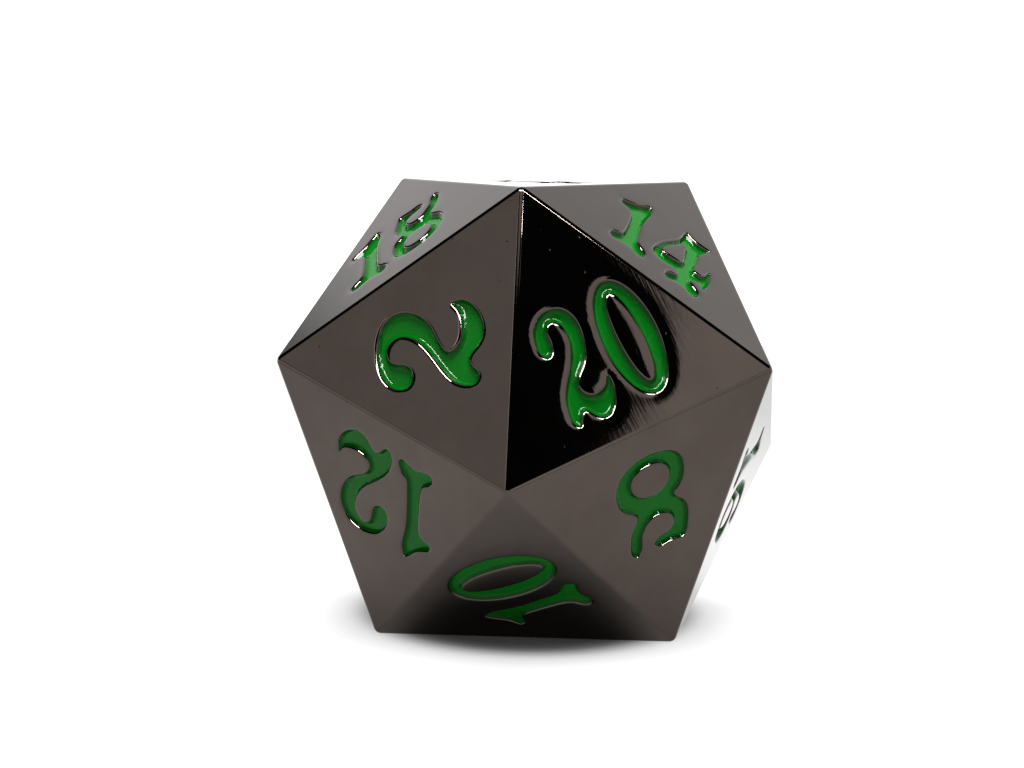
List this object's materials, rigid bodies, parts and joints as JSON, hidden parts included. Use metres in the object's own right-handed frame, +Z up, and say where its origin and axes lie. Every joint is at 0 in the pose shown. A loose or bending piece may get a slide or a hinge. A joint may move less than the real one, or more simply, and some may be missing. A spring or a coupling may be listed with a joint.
{
  "type": "polyhedral die",
  "caption": "Polyhedral die for tabletop games: a plated metal icosahedron with rounded edges and a sunk number on each face, filled with green enamel",
  "frame": {"origin": "middle of the resting face, the 17, on the table", "axes": "+Z up, out of the top face, the 4; -Y is the side the 20 faces, with its foot corner and its top corner in the plane X = 0; +X is the side of the 16"},
  "size_m": [0.0214, 0.0246, 0.02],
  "materials": {
    "black_nickel": "polished",
    "green_enamel": "gloss"
  },
  "bodies": {
    "root": {"die_body": "black_nickel", "numeral_1": "green_enamel", "numeral_2": "green_enamel", "numeral_3": "green_enamel", "numeral_4": "green_enamel", "numeral_5": "green_enamel", "numeral_6": "green_enamel", "numeral_7": "green_enamel", "numeral_8": "green_enamel", "numeral_9": "green_enamel", "numeral_10": "green_enamel", "numeral_11": "green_enamel", "numeral_12": "green_enamel", "numeral_13": "green_enamel", "numeral_14": "green_enamel", "numeral_15": "green_enamel", "numeral_16": "green_enamel", "numeral_17": "green_enamel", "numeral_18": "green_enamel", "numeral_19": "green_enamel", "numeral_20": "green_enamel"}
  },
  "joints": []
}
